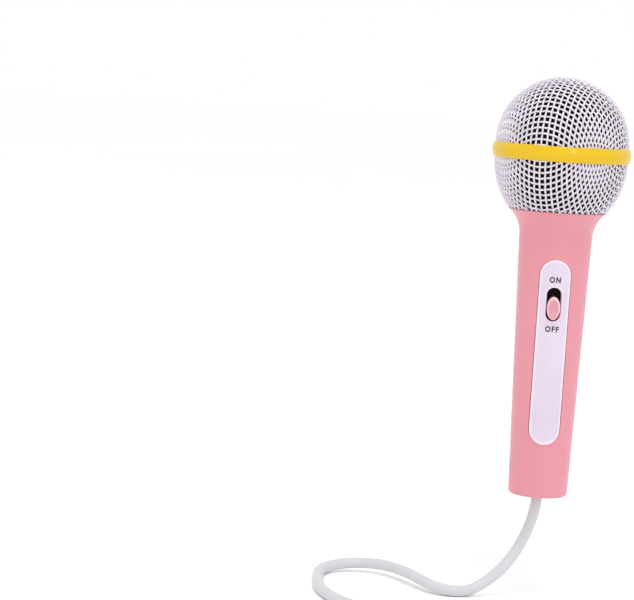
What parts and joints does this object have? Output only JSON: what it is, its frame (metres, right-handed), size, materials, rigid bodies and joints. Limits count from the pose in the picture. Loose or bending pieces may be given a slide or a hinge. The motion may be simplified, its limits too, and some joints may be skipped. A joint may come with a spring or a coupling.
{
  "type": "karaoke microphone",
  "caption": "Corded handheld microphone: tapered handle with a slide switch, round wire-mesh head with an equatorial ring, moving-coil capsule inside, and a lead ending in a small plug.",
  "frame": {"origin": "on the handle's axis, at the middle of the stretch that a holder's clip grips, 92.6 mm above the handle's lower end", "axes": "+Z along the handle's axis towards the head; -Y out of the front, where the switch and the face plate are; +X to the right as seen from the front"},
  "size_m": [0.1145, 0.1559, 0.2075],
  "materials": {
    "pink_plastic": "gloss",
    "knob_plastic": "gloss",
    "plate_plastic": "satin",
    "ring_plastic": "gloss",
    "mesh_wire": "bright",
    "screw_steel": "satin",
    "yoke_steel": "satin",
    "switch_steel": "satin",
    "coil_copper": "satin",
    "magnet": "matt",
    "foam": "matt",
    "black_plastic": "satin",
    "black_rubber": "matt",
    "film": "gloss",
    "board": "matt",
    "cord_sheath": "satin",
    "plug_plastic": "satin",
    "red_wire": "gloss",
    "black_wire": "gloss",
    "nickel": "polished"
  },
  "bodies": {
    "handle": {"grille_upper": "mesh_wire", "grille_lower": "mesh_wire", "grille_ring": "ring_plastic", "foam_upper": "foam", "foam_lower": "foam", "grille_neck_ring": "yoke_steel", "capsule_carrier": "black_plastic", "capsule_shock_mount": "black_rubber", "capsule_housing": "black_plastic", "capsule_yoke": "yoke_steel", "capsule_magnet": "magnet", "capsule_pole_plate": "yoke_steel", "capsule_cover": "black_plastic", "switch_can": "switch_steel", "switch_base": "board", "switch_board": "board", "switch_terminal_1": "nickel", "switch_terminal_2": "nickel", "switch_terminal_3": "nickel", "board_screw_1": "screw_steel", "board_screw_2": "screw_steel", "handle_front_shell": "pink_plastic", "handle_rear_shell": "pink_plastic", "face_plate": "plate_plastic", "cord_clamp": "black_plastic", "cord_grommet": "black_rubber", "shell_screw_1": "screw_steel", "shell_screw_2": "screw_steel", "shell_screw_3": "screw_steel", "clamp_screw_1": "screw_steel", "clamp_screw_2": "screw_steel", "cord_wire_red": "red_wire", "cord_wire_black": "black_wire", "capsule_wire_red": "red_wire", "capsule_wire_black": "black_wire", "cord_lead": "cord_sheath", "cord_coil": "cord_sheath", "cord_tail": "cord_sheath", "cord_tie": "black_plastic", "plug_strain_relief": "plug_plastic", "plug_body": "plug_plastic", "plug_sleeve": "nickel", "plug_insulator": "black_plastic", "plug_tip": "nickel"},
    "switch": {"switch_knob": "knob_plastic", "switch_slider": "black_plastic"},
    "diaphragm": {"capsule_diaphragm": "film", "capsule_voice_coil": "coil_copper"}
  },
  "joints": [
    {"name": "switch_slide", "type": "slide", "parent": "handle", "child": "switch", "axis": [0, -0.0255, 0.9997], "range_m": [0, 0.003]},
    {"name": "diaphragm_slide", "type": "slide", "parent": "handle", "child": "diaphragm", "axis": [0, 0, 1], "range_m": [-0.00025, 0.00025], "stiffness_N_per_m": 60}
  ]
}
